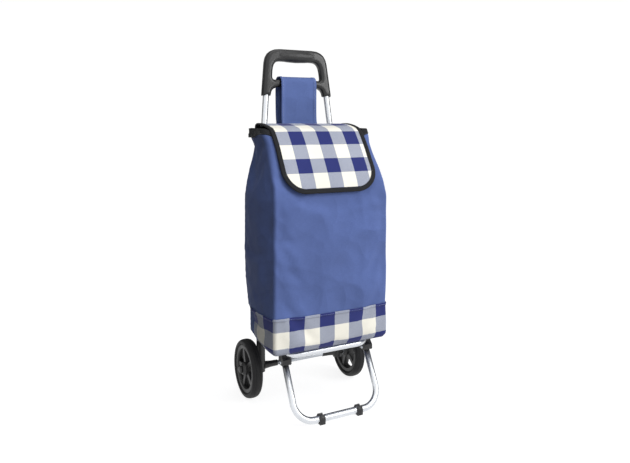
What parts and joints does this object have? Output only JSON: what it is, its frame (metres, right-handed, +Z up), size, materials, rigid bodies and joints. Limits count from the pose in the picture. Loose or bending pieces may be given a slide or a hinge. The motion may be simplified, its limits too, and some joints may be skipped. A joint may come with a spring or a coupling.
{
  "type": "shopping trolley",
  "caption": "Two-wheeled pull-along shopping trolley: tubular frame with a closed pull grip, fold-up front stand, folding platform, and a fabric bag with a bound check flap.",
  "frame": {"origin": "middle of the footprint, on the floor the wheels and the front stand rest on", "axes": "+Z up; the front, with the flap and the stand, faces -Y; the nodes named right are on +X, and the axle of the wheels runs along X"},
  "size_m": [0.3608, 0.3092, 0.9364],
  "materials": {
    "aluminium_tube": "bright drawn tube, lightly polished",
    "zinc_steel": "bright zinc plated",
    "black_plastic": "moulded, fine satin texture",
    "grip_plastic": "pebble textured on top, satin on the legs",
    "tyre_rubber": "smooth tread with a fine line each side",
    "blue_fabric": "plain woven, slightly creased",
    "check_fabric": "woven gingham check in navy, grey and cream",
    "black_tape": "grosgrain binding tape, stitched"
  },
  "bodies": {
    "trolley_frame": {"handle_grip": "grip_plastic", "handle_screw_right": "zinc_steel", "handle_screw_left": "zinc_steel", "upright_tube_right": "aluminium_tube", "upright_tube_left": "aluminium_tube", "rear_fitting_right": "black_plastic", "rear_fitting_left": "black_plastic", "fitting_screw_right": "zinc_steel", "fitting_screw_left": "zinc_steel", "axle_rod": "zinc_steel", "axle_washer_right": "zinc_steel", "axle_washer_left": "zinc_steel", "axle_cap_right": "black_plastic", "axle_cap_left": "black_plastic", "bag_body": "blue_fabric", "bag_lower_band": "check_fabric", "bag_rim_tape": "black_tape", "hanging_loop": "blue_fabric"},
    "wheel_right": {"wheel_rim_right": "black_plastic", "tyre_right": "tyre_rubber"},
    "wheel_left": {"wheel_rim_left": "black_plastic", "tyre_left": "tyre_rubber"},
    "platform": {"platform_tube": "aluminium_tube", "platform_pin_right": "zinc_steel", "platform_pin_left": "zinc_steel", "front_bracket_right": "black_plastic", "front_bracket_left": "black_plastic"},
    "front_stand": {"stand_tube": "aluminium_tube", "stand_pin_right": "zinc_steel", "stand_pin_left": "zinc_steel", "foot_clip_right": "black_plastic", "foot_clip_left": "black_plastic"},
    "flap": {"flap_panel": "check_fabric", "flap_binding": "black_tape"}
  },
  "joints": [
    {"name": "wheel_right_spin", "type": "hinge", "parent": "trolley_frame", "child": "wheel_right", "pos_m": [0.1545, 0.07955, 0.075], "axis": [1, 0, 0], "continuous": true},
    {"name": "wheel_left_spin", "type": "hinge", "parent": "trolley_frame", "child": "wheel_left", "pos_m": [-0.1545, 0.07955, 0.075], "axis": [1, 0, 0], "continuous": true},
    {"name": "flap_open", "type": "hinge", "parent": "trolley_frame", "child": "flap", "pos_m": [0, 0.06355, 0.722], "axis": [-1, 0, 0], "range_deg": [0, 95]},
    {"name": "platform_fold", "type": "hinge", "parent": "trolley_frame", "child": "platform", "pos_m": [0, 0.03955, 0.155], "axis": [-1, 0, 0], "range_deg": [0, 75], "deforming": ["bag_body", "bag_lower_band", "bag_rim_tape"]},
    {"name": "stand_fold", "type": "hinge", "parent": "platform", "child": "front_stand", "pos_m": [0, -0.07445, 0.137], "axis": [1, 0, 0], "range_deg": [0, 112]}
  ]
}
